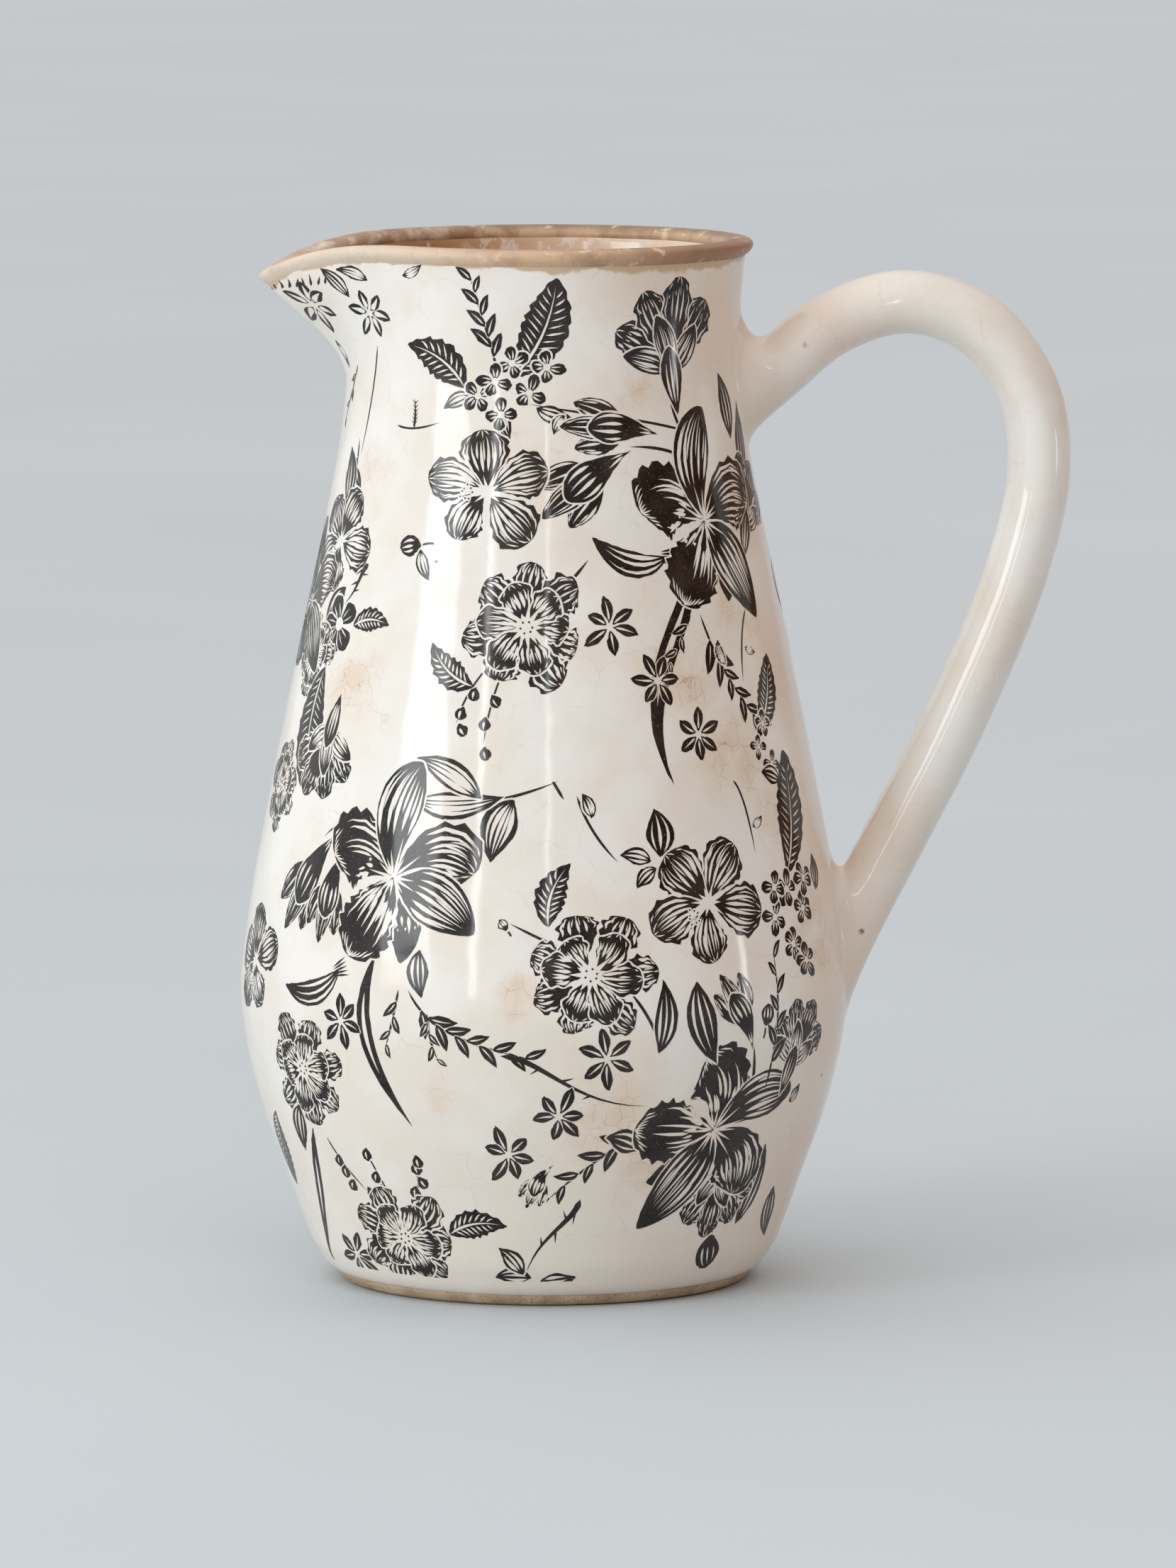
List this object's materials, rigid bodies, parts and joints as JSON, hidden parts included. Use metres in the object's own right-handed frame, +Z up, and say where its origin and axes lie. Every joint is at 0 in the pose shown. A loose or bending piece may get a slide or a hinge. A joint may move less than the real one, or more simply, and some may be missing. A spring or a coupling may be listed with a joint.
{
  "type": "ceramic pitcher",
  "caption": "Tall round-bellied ceramic pitcher with a tapering neck, beak spout, rolled rim and loop handle, glazed cream with a dark botanical print.",
  "frame": {"origin": "on the table surface, midway along the pitcher's overall length; the vessel's own axis is 30.7 mm towards -X from it", "axes": "+Z up along the vessel, +X from the vessel towards the handle, -X towards the spout, -Y the side with the large printed sprays"},
  "size_m": [0.2302, 0.1688, 0.29],
  "materials": {
    "cream_glaze": "gloss cream glaze with fine crazing and faint tan staining",
    "stained_glaze": "gloss brown-stained glaze, worn and chipped to cream in patches",
    "bare_clay": "matte unglazed tan clay",
    "ink_print": "charcoal underglaze print with the gloss of the glaze over it"
  },
  "bodies": {
    "root": {"foot_ring": "bare_clay", "floor_disc": "cream_glaze", "belly_wall": "cream_glaze", "neck_wall": "cream_glaze", "spout": "cream_glaze", "rim_bead": "stained_glaze", "upper_lute": "cream_glaze", "lower_lute": "cream_glaze", "handle": "cream_glaze"}
  },
  "joints": []
}
